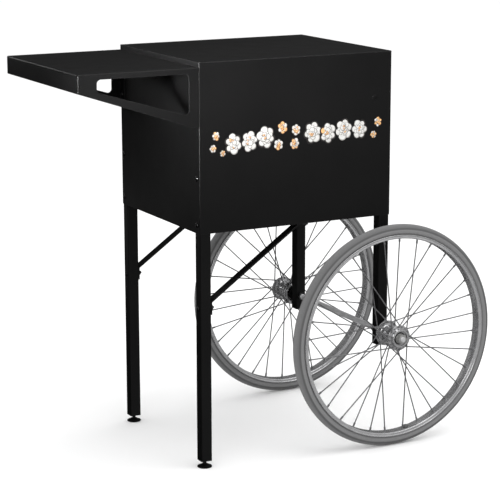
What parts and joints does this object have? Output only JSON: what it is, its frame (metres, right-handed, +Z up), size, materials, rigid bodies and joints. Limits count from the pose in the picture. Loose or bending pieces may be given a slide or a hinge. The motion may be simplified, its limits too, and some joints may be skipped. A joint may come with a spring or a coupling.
{
  "type": "popcorn cart",
  "caption": "Steel storage cart with a flat counter top, a side shelf with hand openings, two footed legs and two large wire-spoked wheels on one axle.",
  "frame": {"origin": "on the floor, under the middle of the cart's overall box", "axes": "+X from the side shelf to the wheels, +Y from the decorated front to the door, +Z up"},
  "size_m": [0.984, 0.578, 0.888],
  "materials": {
    "powder_coat": "satin black powder coat",
    "black_steel": "black zinc plated",
    "zinc_steel": "zinc plated",
    "chrome": "bright plated",
    "spoke_steel": "bright drawn wire",
    "tyre_rubber": "grey rubber, matte",
    "black_plastic": "matte",
    "printed_film": "printed vinyl film"
  },
  "bodies": {
    "cart": {"cabinet_shell": "powder_coat", "top_panel": "powder_coat", "floor_panel": "powder_coat", "rear_header": "powder_coat", "rear_sill": "powder_coat", "shelf_tray": "powder_coat", "leg_front": "powder_coat", "leg_rear": "powder_coat", "axle_leg_front": "powder_coat", "axle_leg_rear": "powder_coat", "brace_front": "powder_coat", "brace_rear": "powder_coat", "leg_bolts": "black_steel", "leg_nuts": "black_steel", "shelf_bolts": "black_steel", "shelf_nuts": "black_steel", "brace_bolts": "black_steel", "brace_nuts": "black_steel", "axle_inner_nuts": "black_steel", "axle_washers": "zinc_steel", "axle_nuts": "zinc_steel", "hinge_pins": "zinc_steel", "hinge_frame_leaves": "zinc_steel", "hinge_frame_screws": "zinc_steel", "axle": "chrome", "foot_inserts": "black_plastic", "axle_leg_caps": "black_plastic", "hole_plug": "black_plastic", "hub_spacers": "black_plastic", "magnet_catch": "black_plastic", "front_graphic": "printed_film"},
    "door": {"door_panel": "powder_coat", "hinge_door_leaves": "zinc_steel", "hinge_door_screws": "zinc_steel", "door_pull": "chrome", "pull_screws": "zinc_steel", "catch_plate": "zinc_steel"},
    "wheel_front": {"tyre_front": "tyre_rubber", "rim_front": "chrome", "hub_front": "chrome", "bearings_front": "zinc_steel", "spokes_front": "spoke_steel", "nipples_front": "spoke_steel", "valve_plug_front": "tyre_rubber"},
    "wheel_rear": {"tyre_rear": "tyre_rubber", "rim_rear": "chrome", "hub_rear": "chrome", "bearings_rear": "zinc_steel", "spokes_rear": "spoke_steel", "nipples_rear": "spoke_steel", "valve_plug_rear": "tyre_rubber"},
    "foot_front": {"foot_stem_front": "black_steel", "foot_pad_front": "black_plastic"},
    "foot_rear": {"foot_stem_rear": "black_steel", "foot_pad_rear": "black_plastic"}
  },
  "joints": [
    {"name": "front_wheel_spin", "type": "hinge", "parent": "cart", "child": "wheel_front", "pos_m": [0.23805, -0.245, 0.254], "axis": [0, 1, 0], "continuous": true},
    {"name": "rear_wheel_spin", "type": "hinge", "parent": "cart", "child": "wheel_rear", "pos_m": [0.23805, 0.245, 0.254], "axis": [0, 1, 0], "continuous": true},
    {"name": "door_swing", "type": "hinge", "parent": "cart", "child": "door", "pos_m": [-0.18905, 0.2055, 0.7], "axis": [0, 0, 1], "range_deg": [0, 110]},
    {"name": "front_foot_adjust", "type": "slide", "parent": "cart", "child": "foot_front", "axis": [0, 0, -1], "range_m": [-0.006, 0.015]},
    {"name": "rear_foot_adjust", "type": "slide", "parent": "cart", "child": "foot_rear", "axis": [0, 0, -1], "range_m": [-0.006, 0.015]}
  ]
}
